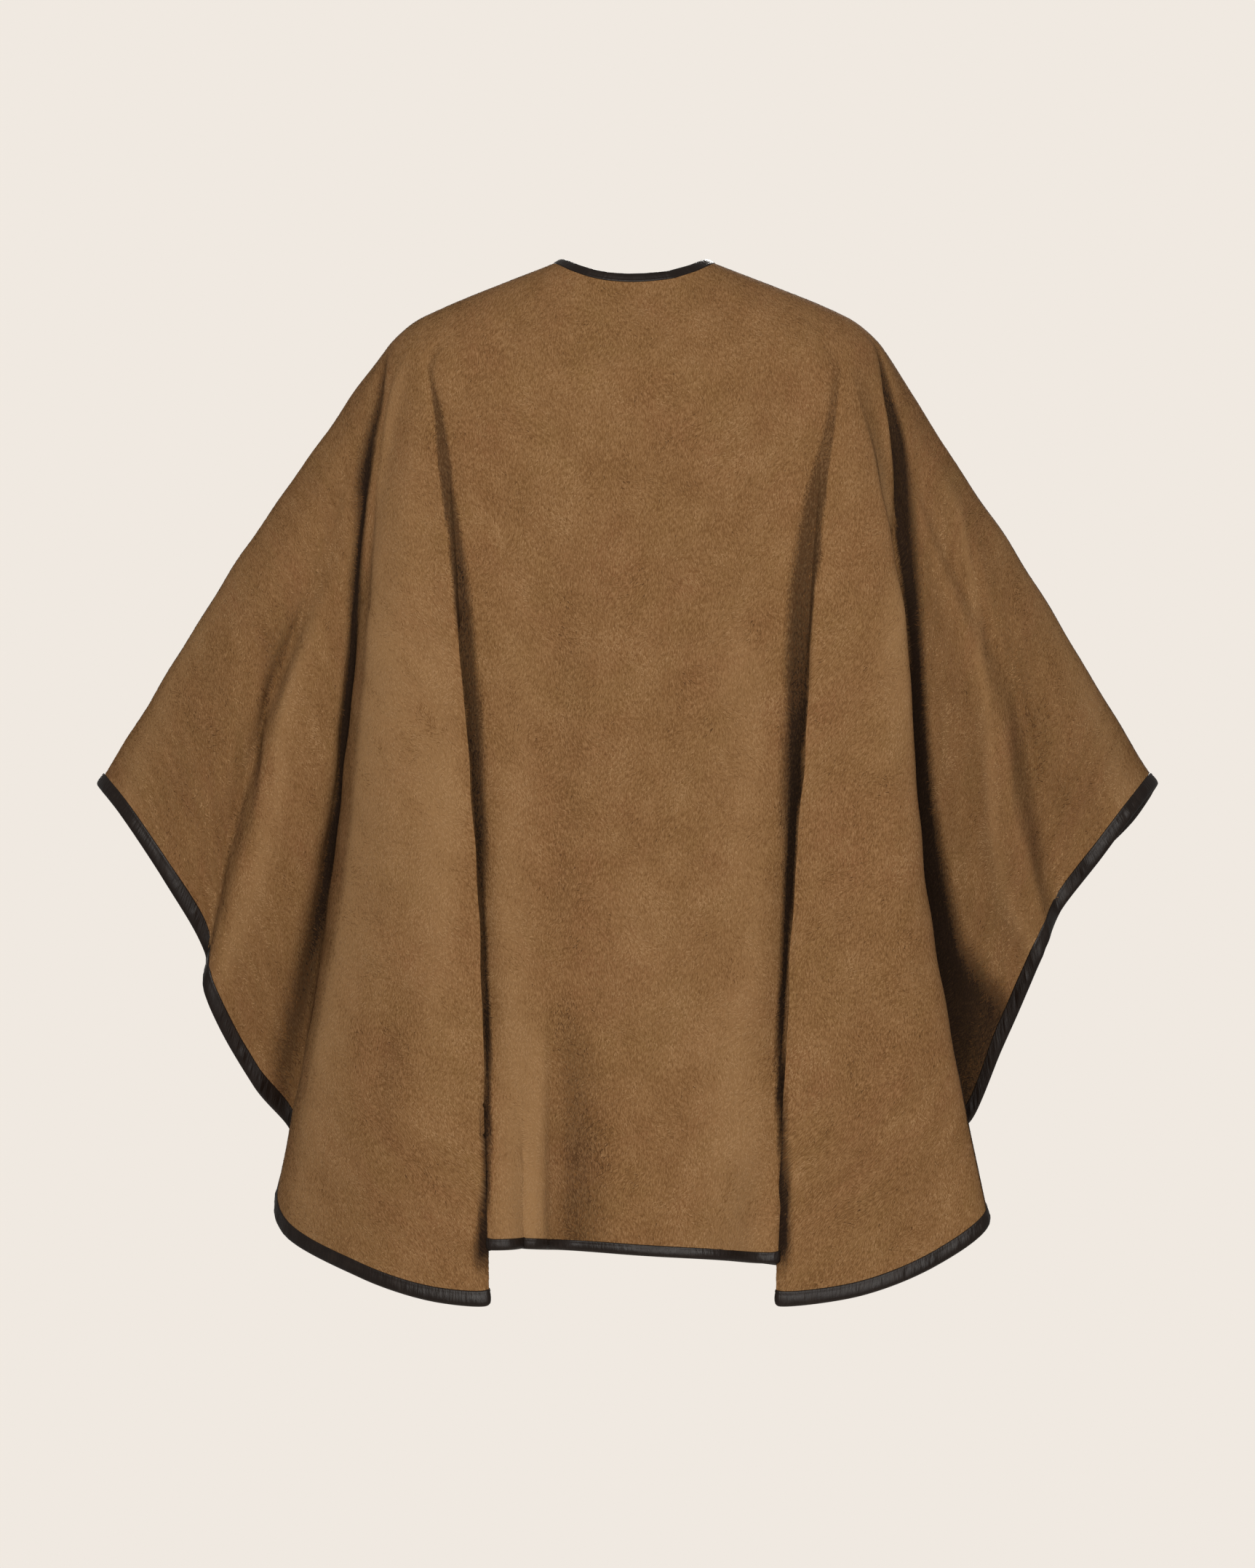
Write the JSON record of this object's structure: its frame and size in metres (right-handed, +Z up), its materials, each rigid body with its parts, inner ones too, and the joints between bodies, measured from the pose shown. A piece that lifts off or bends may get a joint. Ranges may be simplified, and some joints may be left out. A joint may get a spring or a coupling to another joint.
{
  "type": "wool cape",
  "caption": "Open-front wool cape with leather-bound neck, hem and front edges, draped from the shoulders with deep folds and arm wings.",
  "frame": {"origin": "midway between the two sides of the neck opening, at the height where the shoulders carry the cape", "axes": "+Z up, -Y out of the cape's back, +Y out of its open front, -X towards the wearer's left arm and +X towards the right arm"},
  "size_m": [1.0139, 0.4056, 0.975],
  "materials": {
    "wool": "brushed short nap, matt",
    "leather": "smooth, half glossy"
  },
  "bodies": {
    "root": {"back_panel": "wool", "front_panel_left": "wool", "front_panel_right": "wool", "neck_binding": "leather", "hem_binding_back": "leather", "hem_binding_left": "leather", "hem_binding_right": "leather", "front_binding_left": "leather", "front_binding_right": "leather"}
  },
  "joints": []
}
